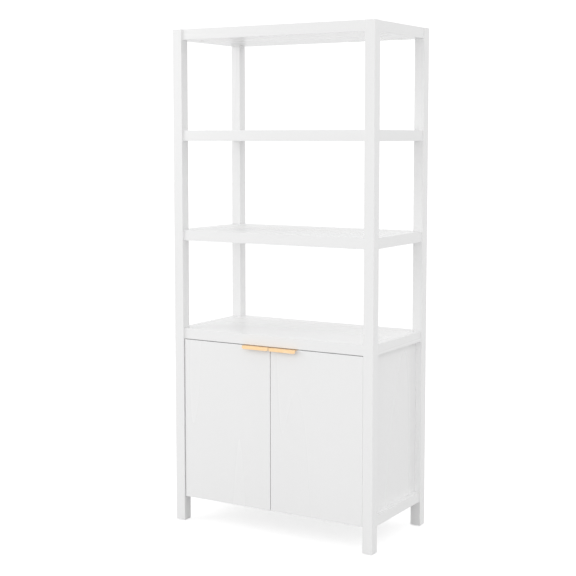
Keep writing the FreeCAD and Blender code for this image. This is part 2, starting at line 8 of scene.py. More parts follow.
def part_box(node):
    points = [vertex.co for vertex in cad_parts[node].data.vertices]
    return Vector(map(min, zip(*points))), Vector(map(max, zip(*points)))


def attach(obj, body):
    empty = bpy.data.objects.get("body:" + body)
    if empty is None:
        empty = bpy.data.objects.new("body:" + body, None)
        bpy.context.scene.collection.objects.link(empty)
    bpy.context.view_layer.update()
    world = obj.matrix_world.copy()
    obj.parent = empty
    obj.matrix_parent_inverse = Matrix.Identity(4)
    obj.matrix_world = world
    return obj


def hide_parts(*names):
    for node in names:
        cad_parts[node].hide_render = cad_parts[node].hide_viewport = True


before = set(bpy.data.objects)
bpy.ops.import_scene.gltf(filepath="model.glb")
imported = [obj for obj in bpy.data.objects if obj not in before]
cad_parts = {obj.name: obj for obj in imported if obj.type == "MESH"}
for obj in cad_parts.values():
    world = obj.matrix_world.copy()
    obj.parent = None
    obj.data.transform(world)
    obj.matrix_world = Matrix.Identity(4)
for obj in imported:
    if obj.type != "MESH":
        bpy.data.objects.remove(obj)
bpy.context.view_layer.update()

# ---- Posts ----
# Four square posts of solid poplar, planed, with eased edges. They are sealed, sanded and sprayed with white
# lacquer, so the grain shows only as faint long ridges. Inside the mortises the wood is bare.
POST_NAMES = ("front_left_post", "front_right_post", "rear_left_post", "rear_right_post")
LACQUER_TONES = ("F6F6F6", "F7F7F7")
LACQUER_ROUGHNESS = (0.26, 0.29)
POPLAR_TONES = ("C2B38B", "D8C79C")
BARE_ROUGHNESS = 0.85
RIPPLE_WIDTH = 0.016           # flow ripples along the spray gun's path, as wide as they need to show
RIPPLE_LENGTH = 0.25
RIPPLE_HEIGHT = 0.000012
FILM_DRIFT = 10.0              # ripples over which the film's tone and gloss drift
GRAIN_WIDTH = 0.0016
GRAIN_LENGTH = 0.07
GRAIN_HEIGHT = 0.000006
FIBRE_WIDTH = 0.0012           # fibres of the bare board or wood, wider than they are, so that they show
COAT_REACH = 0.0003            # the spray reaches this far into holes and grooves
PAST_ANY_END = 1.0             # further than any piece reaches from its middle
MID_NOISE = {"From Min": 0.3, "From Max": 0.7}  # nearly all of a noise's values lie between these


def linear(hex_colour):
    """Linear colour, with alpha, of an sRGB hex colour."""
    shares = [int(hex_colour[place:place + 2], 16) / 255 for place in (0, 2, 4)]
    return [s / 12.92 if s <= 0.04045 else ((s + 0.055) / 1.055) ** 2.4 for s in shares] + [1.0]


def stretched(axis, width, length):
    """Scales of a pattern whose marks have a width and, along one axis, a length."""
    scales = [1 / width] * 3
    scales["xyz".index(axis)] = 1 / length
    return scales


def add_node(owner, kind, inputs=None, **settings):
    """Adds a node with its settings to a material or the world. An input goes by its name, or by its count
    among the sockets in use. It is a number, a colour, a socket, or a node for its first output in use."""
    made = owner.node_tree.nodes.new("ShaderNode" + kind)
    for name, value in settings.items():
        setattr(made, name, value)
    in_use = [socket for socket in made.inputs if socket.enabled]
    for name, value in (inputs or {}).items():
        target = in_use[name] if isinstance(name, int) else next(s for s in in_use if s.name == name)
        if isinstance(value, bpy.types.Node):
            value = next(socket for socket in value.outputs if socket.enabled)
        if isinstance(value, bpy.types.NodeSocket):
            owner.node_tree.links.new(value, target)
        else:
            target.default_value = value
    return made


def new_material(name):
    """An empty material, and the places on the piece that its patterns follow."""
    material = bpy.data.materials.new(name)
    material.use_nodes = True
    material.node_tree.nodes.clear()
    return material, add_node(material, "TexCoord").outputs["Object"]


def bare_places(material, place, name, sawn_axes, coat):
    """1 on the bare faces of a CAD piece: deeper in its holes and joints than the coat reaches along each
    axis, and across the ends that were sawn after spraying."""
    low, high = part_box(name)
    reach = (high - low) / 2 - Vector(coat)
    for axis in sawn_axes:
        reach["xyz".index(axis)] += PAST_ANY_END
    centred = add_node(material, "VectorMath", {0: place, 1: (low + high) / 2}, operation="SUBTRACT")
    outward = add_node(material, "VectorMath", {0: centred}, operation="ABSOLUTE")
    beyond = add_node(material, "VectorMath", {0: outward, 1: reach}, operation="SUBTRACT")
    axes = add_node(material, "SeparateXYZ", {"Vector": beyond}).outputs
    wider = add_node(material, "Math", {0: axes[0], 1: axes[1]}, operation="MAXIMUM")
    widest = add_node(material, "Math", {0: wider, 1: axes[2]}, operation="MAXIMUM")
    return add_node(material, "Math", {0: widest, 1: 0.0}, operation="LESS_THAN")


def sprayed_lacquer(name, bare_tones, axis, sawn_axes="", grained=False, coat=(COAT_REACH,) * 3):
    """White polyurethane lacquer, sprayed along one axis and semi-gloss: soft reflections that its shallow
    ripples break into streaks. On timber it follows the grain along the same axis. Where no coat reaches,
    the board or wood is bare."""
    material, place = new_material("sprayed_lacquer_on_" + name)
    bare = bare_places(material, place, name, sawn_axes, coat)
    strokes = add_node(
        material, "Mapping", {"Vector": place, "Scale": stretched(axis, RIPPLE_WIDTH, RIPPLE_LENGTH)})
    film = add_node(
        material, "TexNoise", {"Vector": strokes, "Scale": 1 / FILM_DRIFT, "Detail": 0.0})
    film = add_node(material, "MapRange", {**MID_NOISE, "Value": film})
    fibres = add_node(
        material, "TexNoise", {"Vector": place, "Scale": 1 / FIBRE_WIDTH, "Detail": 3.0, "Roughness": 0.6})
    fibres = add_node(material, "MapRange", {**MID_NOISE, "Value": fibres})
    coated = add_node(
        material, "Mix",
        {"Factor": film, "A": linear(LACQUER_TONES[0]), "B": linear(LACQUER_TONES[1])}, data_type="RGBA")
    uncoated = add_node(
        material, "Mix",
        {"Factor": fibres, "A": linear(bare_tones[0]), "B": linear(bare_tones[1])}, data_type="RGBA")
    colour = add_node(material, "Mix", {"Factor": bare, "A": coated, "B": uncoated}, data_type="RGBA")
    gloss = add_node(
        material, "Mix", {"Factor": film, "A": LACQUER_ROUGHNESS[0], "B": LACQUER_ROUGHNESS[1]})
    roughness = add_node(material, "Mix", {"Factor": bare, "A": gloss, "B": BARE_ROUGHNESS})
    ripples = add_node(
        material, "TexNoise", {"Vector": strokes, "Scale": 1.0, "Detail": 1.0, "Roughness": 0.4})
    relief = add_node(material, "Bump", {"Height": ripples, "Distance": RIPPLE_HEIGHT, "Strength": 1.0})
    if grained:
        along = add_node(
            material, "Mapping", {"Vector": place, "Scale": stretched(axis, GRAIN_WIDTH, GRAIN_LENGTH)})
        grain = add_node(
            material, "TexNoise", {"Vector": along, "Scale": 1.0, "Detail": 3.0, "Roughness": 0.55})
        relief = add_node(
            material, "Bump",
            {"Height": grain, "Distance": GRAIN_HEIGHT, "Strength": 1.0, "Normal": relief})
    shader = add_node(
        material, "BsdfPrincipled",
        {"Base Color": colour, "Roughness": roughness, "IOR": 1.5, "Normal": relief})
    add_node(material, "OutputMaterial", {"Surface": shader})
    return material


def finish_piece(name, material):
    """Gives a CAD piece its material."""
    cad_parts[name].material_slots[0].material = material


for name in POST_NAMES:
    finish_piece(name, sprayed_lacquer(name, POPLAR_TONES, "z", grained=True))

# ---- Rails ----
# Ten short rails of the same poplar, glued into the posts with tenons, with their grain from front to back.
# They were sprayed together with the posts, after the side frames were glued up.
RAIL_NAMES = [
    f"{side}_{level}_rail"
    for side in ("left", "right") for level in ("top", "upper", "middle", "deck", "bottom")]

for name in RAIL_NAMES:
    finish_piece(name, sprayed_lacquer(name, POPLAR_TONES, "y", sawn_axes="y", grained=True))

# ---- Side panels ----
# Two fibreboard panels with a tongue all round, held in the grooves of posts and rails. The lacquer on the
# board has no grain under it, and the drilled holes show its brown core.
FIBREBOARD_TONES = ("A68660", "B9966B")

for name in ("left_side_panel", "right_side_panel"):
    finish_piece(name, sprayed_lacquer(name, FIBREBOARD_TONES, "z", sawn_axes="yz"))

# ---- Glides ----
# Four feet of moulded polyethylene, one under each post, driven in by a barbed pin. The moulded face is dull
# and nearly black, with a fine grain. Its middle is hollow, so that only the rim stands on the floor.
GLIDE_CORNERS = 48
GLIDE_THICK = 0.003
GLIDE_RADIUS = 0.012
GLIDE_HOLLOW = 0.0012
GLIDE_HOLLOW_RADIUS = 0.008
# Height and radius, from the hollow round the rim that stands on the floor
GLIDE_RIM = ((0.0002, 0.0088), (0, 0.0092), (0, 0.011), (0.0003, 0.0115), (0.0009, GLIDE_RADIUS))
GLIDE_PIN_RADIUS = 0.002
GLIDE_PIN_LENGTH = 0.015
GLIDE_PIN_TIP_RADIUS = 0.0009
GLIDE_BARBS = 4
BARB_PITCH = 0.003
BARB_SLOPE = 0.001             # length over which a barb rises
BARB_DEPTH = 0.0005
MOULD_TONES = ("191919", "1E1E1F")
MOULD_ROUGHNESS = (0.42, 0.55)
MOULD_GRAIN = 0.0008           # wider than the real one, so that it shows
MOULD_GRAIN_HEIGHT = 0.00002
MERGE = 0.000001               # corners nearer than this are one corner
SHARP_EDGE = math.radians(32)
UP = Vector((0, 0, 1))


def first_ring(shape, corners, x, radius):
    """A ring of corners about the X axis, with which a turned piece starts."""
    place = Matrix.Translation((x, 0, 0)) @ Matrix.Rotation(math.pi / 2, 4, "Y")
    bmesh.ops.create_circle(shape, cap_ends=False, segments=corners, radius=radius, matrix=place)
    return shape.edges[:]


def turn_on(shape, ring, steps):
    """Draws a ring on along the X axis. Each step is a value of x and how far the ring reaches there: a
    radius, or a function of the direction across the axis."""
    for x, reach in steps:
        drawn = bmesh.ops.extrude_edge_only(shape, edges=ring)["geom"]
        ring = [part for part in drawn if isinstance(part, bmesh.types.BMEdge) and part.is_boundary]
        for part in drawn:
            if isinstance(part, bmesh.types.BMVert):
                across = Vector((0, part.co.y, part.co.z)).normalized()
                radius = reach(across) if callable(reach) else reach
                part.co = across * radius + Vector((x, 0, 0))
    return ring


def closed(shape):
    """Fills the ends of a turned piece, turns its faces outwards and rounds its shading, but at edges."""
    bmesh.ops.holes_fill(shape, edges=shape.edges, sides=0)
    bmesh.ops.recalc_face_normals(shape, faces=shape.faces)
    for face in shape.faces:
        face.smooth = True
    for edge in shape.edges:
        edge.smooth = edge.calc_face_angle(0) < SHARP_EDGE
    return shape


def solids_of(node):
    """Lowest and highest corner of each of the like solids that one CAD node holds."""
    shape = bmesh.new()
    shape.from_mesh(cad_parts[node].data)
    bmesh.ops.remove_doubles(shape, verts=shape.verts, dist=MERGE)
    unseen = set(shape.verts)
    boxes = []
    while unseen:
        solid = [unseen.pop()]
        for corner in solid:  # the list grows while it is walked, until the solid has no more corners
            nearby = [edge.other_vert(corner) for edge in corner.link_edges]
            found = [other for other in nearby if other in unseen]
            unseen.difference_update(found)
            solid.extend(found)
        axes = list(zip(*(corner.co for corner in solid)))
        boxes.append(([min(axis) for axis in axes], [max(axis) for axis in axes]))
    shape.free()
    return [(Vector(low), Vector(high)) for low, high in sorted(boxes)]


def fit_in_place_of(node, name, body, material, shape, towards):
    """Puts a turned shape in the place of each solid of a CAD node. The shape's X axis lies along the solid,
    from its back end, and points where the function towards says for the solid's middle."""
    pattern = bpy.data.meshes.new("pattern")
    shape.to_mesh(pattern)
    shape.free()
    whole = bmesh.new()
    for low, high in solids_of(node):
        middle = (low + high) / 2
        direction = towards(middle)
        back_end = middle - direction * abs((high - low).dot(direction)) / 2
        turn = Vector((1, 0, 0)).rotation_difference(direction).to_matrix().to_4x4()
        place = Matrix.Translation(back_end) @ turn
        pattern.transform(place)
        whole.from_mesh(pattern)
        pattern.transform(place.inverted())
    bpy.data.meshes.remove(pattern)
    mesh = bpy.data.meshes.new(name)
    whole.to_mesh(mesh)
    whole.free()
    mesh.materials.append(material)
    piece = bpy.data.objects.new(name, mesh)
    bpy.context.scene.collection.objects.link(piece)
    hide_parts(node)
    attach(piece, body)


def moulded_polyethylene():
    """Black polyethylene from an eroded mould: dull, with an even fine grain."""
    material, place = new_material("moulded_polyethylene")
    grain = add_node(material, "TexNoise", {"Vector": place, "Scale": 1 / MOULD_GRAIN})
    spread = add_node(material, "MapRange", {**MID_NOISE, "Value": grain})
    colour = add_node(
        material, "Mix",
        {"Factor": spread, "A": linear(MOULD_TONES[0]), "B": linear(MOULD_TONES[1])}, data_type="RGBA")
    roughness = add_node(
        material, "Mix", {"Factor": spread, "A": MOULD_ROUGHNESS[0], "B": MOULD_ROUGHNESS[1]})
    relief = add_node(
        material, "Bump", {"Height": grain, "Distance": MOULD_GRAIN_HEIGHT, "Strength": 1.0})
    shader = add_node(
        material, "BsdfPrincipled",
        {"Base Color": colour, "Roughness": roughness, "IOR": 1.5, "Normal": relief})
    add_node(material, "OutputMaterial", {"Surface": shader})
    return material


glide = bmesh.new()
ring = turn_on(glide, first_ring(glide, GLIDE_CORNERS, GLIDE_HOLLOW, GLIDE_HOLLOW_RADIUS), [
    *GLIDE_RIM, (GLIDE_THICK, GLIDE_RADIUS), (GLIDE_THICK, GLIDE_PIN_RADIUS)])
for barb in range(GLIDE_BARBS):
    start = GLIDE_THICK + BARB_PITCH * (barb + 0.5)
    ring = turn_on(glide, ring, [
        (start, GLIDE_PIN_RADIUS), (start, GLIDE_PIN_RADIUS - BARB_DEPTH),
        (start + BARB_PITCH - BARB_SLOPE, GLIDE_PIN_RADIUS - BARB_DEPTH)])
turn_on(glide, ring, [(GLIDE_THICK + GLIDE_PIN_LENGTH, GLIDE_PIN_TIP_RADIUS)])
fit_in_place_of(
    "glides", "barbed_glides", "root", moulded_polyethylene(), closed(glide),
    lambda middle: UP)

# ---- Slabs ----
# Five thick fibreboard slabs between the side frames: top, two shelves, deck and cabinet floor. All faces
# are lacquered but the sawn ends, which butt against the rails. The floor's front corners are notched for
# the doors' hinge edges before it is sprayed.
NOTCH_DEPTH = 0.011            # the spray reaches as far behind the front edge, into the notches

for name in ("top_slab", "upper_shelf", "middle_shelf", "deck_slab"):
    finish_piece(name, sprayed_lacquer(name, FIBREBOARD_TONES, "x", sawn_axes="x"))
finish_piece("bottom_slab", sprayed_lacquer(
    "bottom_slab", FIBREBOARD_TONES, "x", sawn_axes="x", coat=(COAT_REACH, NOTCH_DEPTH, COAT_REACH)))

# ---- Dowels ----
# Ten beech dowels, one in each joint of slab and rail, glued. They are machined with straight flutes that let
# the glue and air out, and their ends are bevelled. Beech is pinkish tan with short dark flecks.
DOWEL_RADIUS = 0.004
DOWEL_LENGTH = 0.036
DOWEL_BEVEL = 0.0008
DOWEL_FLUTES = 24
FLUTE_DEPTH = 0.0002
BEECH_TONES = ("B08A5E", "D2A877")
BEECH_ROUGHNESS = 0.65
FLECK_WIDTH = 0.0004
FLECK_LENGTH = 0.003
FLECK_DEPTH = 0.00002


def fluted(across):
    """Reach of a fluted dowel: every second corner of its ring lies in a flute."""
    corner = round(math.atan2(across.z, across.y) / (math.pi / DOWEL_FLUTES))
    return DOWEL_RADIUS - FLUTE_DEPTH * (corner % 2)


def machined_beech():
    """Beech, machined along its grain and left raw: matt, with flecks that run along the dowel."""
    material, place = new_material("machined_beech")
    along = add_node(
        material, "Mapping", {"Vector": place, "Scale": stretched("x", FLECK_WIDTH, FLECK_LENGTH)})
    fleck = add_node(material, "TexNoise", {"Vector": along, "Scale": 1.0, "Roughness": 0.6})
    spread = add_node(material, "MapRange", {**MID_NOISE, "Value": fleck})
    colour = add_node(
        material, "Mix",
        {"Factor": spread, "A": linear(BEECH_TONES[0]), "B": linear(BEECH_TONES[1])}, data_type="RGBA")
    relief = add_node(material, "Bump", {"Height": fleck, "Distance": FLECK_DEPTH, "Strength": 1.0})
    shader = add_node(
        material, "BsdfPrincipled",
        {"Base Color": colour, "Roughness": BEECH_ROUGHNESS, "IOR": 1.5, "Normal": relief})
    add_node(material, "OutputMaterial", {"Surface": shader})
    return material


def outward(middle):
    """Along X, away from the middle of the bookcase."""
    return Vector((math.copysign(1, middle.x), 0, 0))


dowel = bmesh.new()
ring = first_ring(dowel, 2 * DOWEL_FLUTES, 0, DOWEL_RADIUS - DOWEL_BEVEL)
turn_on(dowel, ring, [
    (DOWEL_BEVEL, fluted), (DOWEL_LENGTH - DOWEL_BEVEL, fluted), (DOWEL_LENGTH, DOWEL_RADIUS - DOWEL_BEVEL)])
fit_in_place_of(
    "slab_dowels", "fluted_dowels", "root", machined_beech(), closed(dowel), outward)

# ---- Connecting bolts ----
# Twenty steel bolts, turned and zinc-plated, two at each end of a slab. The coarse thread is driven into the
# rail up to the collar, and the round head behind the thin neck is caught by the cam.
TURN_CORNERS = 24              # corners of a turn, so that a cross recess has its corners on them
BOLT_LENGTH = 0.0457
BOLT_RADIUS = 0.003
BOLT_ROOT_RADIUS = 0.0023
BOLT_PITCH = 0.0025
BOLT_TIP = 0.0006
BOLT_TIP_RADIUS = 0.0016
BOLT_THREAD_START = 0.0337
BOLT_COLLAR_START = 0.0325
BOLT_COLLAR_RADIUS = 0.0038
BOLT_NECK_RADIUS = 0.002
BOLT_NECK_END = 0.0081
BOLT_NECK_SLOPE = 0.0006       # length over which the neck widens to the shank
BOLT_HEAD_RADIUS = 0.0033
BOLT_HEAD_LENGTH = 0.003
BOLT_HEAD_BEVEL = 0.0003       # length of the head's bevel beside the neck
BOLT_FACE_BEVEL = 0.0006       # length of the bevel round the head's end face
BOLT_FACE_RADIUS = 0.0026
BOLT_BEVEL = 0.0002            # depth of the collar's bevel and of the head's beside the neck
BOLT_RECESS_DEPTH = 0.0014
RECESS_HALF_LENGTH = 0.0019
RECESS_TAPER = 0.75
METAL_CLOUD = 0.012            # width of the clouds in a plating's tone
TURNED_RELIEF = 0.000003


def thread(shape, start, end, root, crest, pitch):
    """A right-hand thread about the X axis, as a tube between two values of x. Returns its end rings."""
    profile = ((0, root), (0.3, crest), (0.42, crest), (0.72, root), (1, root))  # share of the pitch, radius
    turns = math.ceil((end - start) / pitch) + 1
    chain = [shape.verts.new((start + (share - 1) * pitch, 0, radius)) for share, radius in profile]
    edges = [shape.edges.new(pair) for pair in zip(chain, chain[1:])]
    bmesh.ops.spin(
        shape, geom=chain + edges, cent=(0, 0, 0), axis=(1, 0, 0), angle=2 * math.pi * turns,
        steps=TURN_CORNERS * turns, dvec=(pitch / TURN_CORNERS, 0, 0))
    bmesh.ops.remove_doubles(shape, verts=shape.verts, dist=MERGE)
    for x, side in ((start, -1), (end, 1)):
        bmesh.ops.bisect_plane(
            shape, geom=shape.verts[:] + shape.edges[:] + shape.faces[:], dist=MERGE / 10,
            plane_co=(x, 0, 0), plane_no=(side, 0, 0), clear_outer=True)
    middle = (start + end) / 2
    rims = [edge for edge in shape.edges if edge.is_boundary]
    return (
        [edge for edge in rims if edge.verts[0].co.x < middle],
        [edge for edge in rims if edge.verts[0].co.x > middle])


def cross(half_length):
    """Reach of the outline of a cross recess, whose arms are so wide that their corners are corners of a
    turn."""
    half_width = half_length * math.tan(2 * math.pi / TURN_CORNERS)

    def reach(across):
        """How far the outline lies from the axis in a direction across it."""
        y = max(abs(across.y), MERGE)
        z = max(abs(across.z), MERGE)
        return max(min(half_length / y, half_width / z), min(half_width / y, half_length / z))
    return reach


def plated_metal(name, tones, grit, dull, height):
    """Plated or cast metal with an even metallic sheen. Clouds a finger wide drift between its two tones, and
    its grit, drawn as wide as it needs to show, breaks the gloss and gives a relief of a height."""
    material, place = new_material(name)
    cloud = add_node(material, "TexNoise", {"Vector": place, "Scale": 1 / METAL_CLOUD})
    cloud = add_node(material, "MapRange", {**MID_NOISE, "Value": cloud})
    colour = add_node(
        material, "Mix", {"Factor": cloud, "A": linear(tones[0]), "B": linear(tones[1])}, data_type="RGBA")
    speckle = add_node(material, "TexNoise", {"Vector": place, "Scale": 1 / grit, "Roughness": 0.6})
    spread = add_node(material, "MapRange", {**MID_NOISE, "Value": speckle})
    roughness = add_node(material, "Mix", {"Factor": spread, "A": dull[0], "B": dull[1]})
    relief = add_node(material, "Bump", {"Height": speckle, "Distance": height, "Strength": 1.0})
    shader = add_node(
        material, "BsdfPrincipled",
        {"Base Color": colour, "Metallic": 1.0, "Roughness": roughness, "Normal": relief})
    add_node(material, "OutputMaterial", {"Surface": shader})
    return material


bright_zinc = plated_metal(
    "bright_zinc_plated_steel", ("C0C2C6", "CBCDD0"), grit=0.0005, dull=(0.22, 0.34), height=TURNED_RELIEF)

bolt = bmesh.new()
head_rim, tip_rim = thread(
    bolt, BOLT_THREAD_START, BOLT_LENGTH - BOLT_TIP, BOLT_ROOT_RADIUS, BOLT_RADIUS, BOLT_PITCH)
turn_on(bolt, tip_rim, [(BOLT_LENGTH, BOLT_TIP_RADIUS)])
turn_on(bolt, head_rim, [
    (BOLT_THREAD_START, BOLT_COLLAR_RADIUS), (BOLT_COLLAR_START + BOLT_BEVEL, BOLT_COLLAR_RADIUS),
    (BOLT_COLLAR_START, BOLT_COLLAR_RADIUS - BOLT_BEVEL), (BOLT_COLLAR_START, BOLT_RADIUS),
    (BOLT_NECK_END + BOLT_NECK_SLOPE, BOLT_RADIUS), (BOLT_NECK_END, BOLT_NECK_RADIUS),
    (BOLT_HEAD_LENGTH, BOLT_NECK_RADIUS), (BOLT_HEAD_LENGTH, BOLT_HEAD_RADIUS - BOLT_BEVEL),
    (BOLT_HEAD_LENGTH - BOLT_HEAD_BEVEL, BOLT_HEAD_RADIUS), (BOLT_FACE_BEVEL, BOLT_HEAD_RADIUS),
    (0, BOLT_FACE_RADIUS), (0, cross(RECESS_HALF_LENGTH)),
    (BOLT_RECESS_DEPTH, cross(RECESS_HALF_LENGTH * RECESS_TAPER))])
fit_in_place_of(
    "connecting_bolts", "threaded_connecting_bolts", "root", bright_zinc, closed(bolt),
    outward)

# ---- Cam locks ----
# Twenty drums of die-cast zinc, pushed into the undersides of the slabs and turned with a screwdriver, so
# that they draw the bolts' heads in. The casting is grey and dull, with a skin like fine orange peel.
finish_piece("cam_locks", plated_metal(
    "die_cast_zinc", ("A0A2A5", "ABADB0"), grit=0.0007, dull=(0.40, 0.52), height=0.00002))

# ---- Back panel ----
# One sheet of hardboard, covered with white foil on both faces and slid into grooves behind the cabinet. The
# foil has a fine printed grain that stands upright; its sawn edges show the dark brown board.
FOIL_TONES = ("E9E9E7", "EEEEED")
FOIL_ROUGHNESS = (0.38, 0.46)
FOIL_GRAIN_WIDTH = 0.0012      # as coarse as it needs to show
FOIL_GRAIN_LENGTH = 0.03
FOIL_GRAIN_HEIGHT = 0.00002
HARDBOARD_TONES = ("7A5638", "8C6644")
HARDBOARD_ROUGHNESS = 0.8


def foiled_hardboard(name, sawn_axes):
    """Hardboard with a satin white foil, which is duller than the lacquer and has a shallow pressed grain."""
    material, place = new_material("foiled_hardboard")
    bare = bare_places(material, place, name, sawn_axes, (COAT_REACH,) * 3)
    upright = add_node(
        material, "Mapping",
        {"Vector": place, "Scale": stretched("z", FOIL_GRAIN_WIDTH, FOIL_GRAIN_LENGTH)})
    grain = add_node(material, "TexNoise", {"Vector": upright, "Scale": 1.0, "Roughness": 0.55})
    spread = add_node(material, "MapRange", {**MID_NOISE, "Value": grain})
    foil = add_node(
        material, "Mix",
        {"Factor": spread, "A": linear(FOIL_TONES[0]), "B": linear(FOIL_TONES[1])}, data_type="RGBA")
    board = add_node(
        material, "Mix",
        {"Factor": spread, "A": linear(HARDBOARD_TONES[0]), "B": linear(HARDBOARD_TONES[1])},
        data_type="RGBA")
    colour = add_node(material, "Mix", {"Factor": bare, "A": foil, "B": board}, data_type="RGBA")
    satin = add_node(material, "Mix", {"Factor": spread, "A": FOIL_ROUGHNESS[0], "B": FOIL_ROUGHNESS[1]})
    roughness = add_node(material, "Mix", {"Factor": bare, "A": satin, "B": HARDBOARD_ROUGHNESS})
    relief = add_node(
        material, "Bump", {"Height": grain, "Distance": FOIL_GRAIN_HEIGHT, "Strength": 1.0})
    shader = add_node(
        material, "BsdfPrincipled",
        {"Base Color": colour, "Roughness": roughness, "IOR": 1.5, "Normal": relief})
    add_node(material, "OutputMaterial", {"Surface": shader})
    return material


finish_piece("back_panel", foiled_hardboard("back_panel", "xz"))

# ---- Door bumpers ----
# Two self-adhesive drops of clear polyurethane on the front edge of the cabinet floor, cast, with a soft
# round rim. They are slightly cloudy and take the colour of the lacquer behind them.
DROP_TONES = ("ECECE8", "F4F4F1")
DROP_ROUGHNESS = (0.16, 0.26)
DROP_CLEARNESS = 0.7           # share of the light that passes through
DROP_CLOUD = 0.0005


def cast_polyurethane():
    """Clear soft polyurethane, as it sets: smooth and wet-looking, but for its faint clouds."""
    material, place = new_material("cast_polyurethane")
    cloud = add_node(material, "TexNoise", {"Vector": place, "Scale": 1 / DROP_CLOUD})
    cloud = add_node(material, "MapRange", {**MID_NOISE, "Value": cloud})
    colour = add_node(
        material, "Mix",
        {"Factor": cloud, "A": linear(DROP_TONES[0]), "B": linear(DROP_TONES[1])}, data_type="RGBA")
    roughness = add_node(
        material, "Mix", {"Factor": cloud, "A": DROP_ROUGHNESS[0], "B": DROP_ROUGHNESS[1]})
    shader = add_node(
        material, "BsdfPrincipled",
        {"Base Color": colour, "Roughness": roughness, "IOR": 1.49, "Transmission Weight": DROP_CLEARNESS})
    add_node(material, "OutputMaterial", {"Surface": shader})
    return material


finish_piece("door_bumpers", cast_polyurethane())

# ---- Shelf pins ----
# Four turned steel pins with bright zinc plating, pushed into the middle holes of the rows in the side
# panels. The shelf lies on their thicker ends.
finish_piece("shelf_pins", bright_zinc)

# ---- Inner shelf ----
# A loose fibreboard shelf in the cabinet, sawn to size, eased along its edges and lacquered all over. It is
# laid on its four pins and can be lifted out.
finish_piece("inner_shelf", sprayed_lacquer("inner_shelf", FIBREBOARD_TONES, "x"))

# ---- Hinge plates ----
# Four mounting plates, two on each side panel, pressed from steel and nickel-plated. Each is held by two
# pan-head wood screws. Nickel is a warm grey, brighter and sharper than the zinc on the screws.
SCREW_RADIUS = 0.00175
SCREW_ROOT_RADIUS = 0.0012
SCREW_PITCH = 0.0015
SCREW_TAPER = 0.003            # length of the pointed end
SCREW_POINT = 0.1              # share of the thickness that is left at the point
SCREW_HEAD_RADIUS = 0.0035
SCREW_HEAD_HEIGHT = 0.0018
# Place and radius, from the rim of the head round to its end face
SCREW_HEAD_CROWN = ((0.0011, SCREW_HEAD_RADIUS), (0.0006, 0.00335), (0.0002, 0.0029), (0, 0.0023))
SCREW_RECESS_DEPTH = 0.0012
PLATE_THICK = 0.0015


def length_of(node):
    """Length of the long solids that a CAD node holds."""
    low, high = solids_of(node)[0]
    return max(high - low)


def pan_head(shape, rim, radius):
    """Draws the rim of a screw's shank out into a rounded head with a cross recess, back to x = 0."""
    turn_on(shape, rim, [
        (SCREW_HEAD_HEIGHT, radius), (SCREW_HEAD_HEIGHT, SCREW_HEAD_RADIUS), *SCREW_HEAD_CROWN,
        (0, cross(RECESS_HALF_LENGTH)), (SCREW_RECESS_DEPTH, cross(RECESS_HALF_LENGTH * RECESS_TAPER))])


def wood_screw(node, grip):
    """A pointed wood screw, as long as those of a node. Its shank is plain as far as it grips."""
    length = length_of(node)
    shape = bmesh.new()
    head_rim, tip_rim = thread(
        shape, SCREW_HEAD_HEIGHT + grip, length, SCREW_ROOT_RADIUS, SCREW_RADIUS, SCREW_PITCH)
    for corner in shape.verts:
        past = (corner.co.x - (length - SCREW_TAPER)) / SCREW_TAPER
        if past > 0:
            thinner = 1 - (1 - SCREW_POINT) * past
            corner.co = Matrix.Diagonal((1, thinner, thinner)) @ corner.co
    pan_head(shape, head_rim, SCREW_RADIUS)
    return closed(shape)


nickel = plated_metal(
    "nickel_plated_steel", ("C4C0B8", "D2CEC6"), grit=0.0006, dull=(0.18, 0.28), height=TURNED_RELIEF)
for side in ("left", "right"):
    finish_piece(side + "_hinge_plates", nickel)
    screws = side + "_plate_screws"
    fit_in_place_of(
        screws, side + "_plate_wood_screws", "root", bright_zinc,
        wood_screw(screws, PLATE_THICK), outward)

# ---- Doors ----
# Two flat slab doors of fibreboard, rounded at every edge and sprayed on all six faces. The bores for the
# hinge cups and screws are cut after spraying and stay brown.
for name in ("left_door", "right_door"):
    finish_piece(name, sprayed_lacquer(name, FIBREBOARD_TONES, "z"))

# ---- Hinge cups ----
# Four cups, deep-drawn from steel and nickel-plated, pressed into the doors' backs and held by two screws
# through their wings. A plain steel pin with bevelled ends crosses each cup and carries the arm.
CUP_WING_THICK = 0.0012
PIN_RADIUS = 0.00125
PIN_BEVEL = 0.0002
INTO_DOOR = Vector((0, -1, 0))


def bevelled_pin(node):
    """A plain pin with bevelled ends, as long as those of a node."""
    length = length_of(node)
    shape = bmesh.new()
    turn_on(shape, first_ring(shape, TURN_CORNERS, 0, PIN_RADIUS - PIN_BEVEL), [
        (PIN_BEVEL, PIN_RADIUS), (length - PIN_BEVEL, PIN_RADIUS), (length, PIN_RADIUS - PIN_BEVEL)])
    return closed(shape)


for side in ("left", "right"):
    finish_piece(side + "_hinge_cups", nickel)
    screws = side + "_cup_screws"
    fit_in_place_of(
        screws, side + "_cup_wood_screws", side + "_door", bright_zinc,
        wood_screw(screws, CUP_WING_THICK), lambda middle: INTO_DOOR)
    pins = side + "_cup_pins"
    fit_in_place_of(
        pins, side + "_bevelled_cup_pins", side + "_door", bright_zinc,
        bevelled_pin(pins), lambda middle: UP)

# ---- Hinge arms ----
# Four arms, pressed from steel strip and nickel-plated, each bent round the door's corner. Two M4 screws hold
# an arm to its plate: the front one through a hole, the rear one through the open slot.
MACHINE_SCREW_RADIUS = 0.002
MACHINE_SCREW_ROOT = 0.00165
MACHINE_SCREW_PITCH = 0.0007
MACHINE_SCREW_TIP = 0.0004
MACHINE_SCREW_TIP_RADIUS = 0.0013
ARM_THICK = 0.002


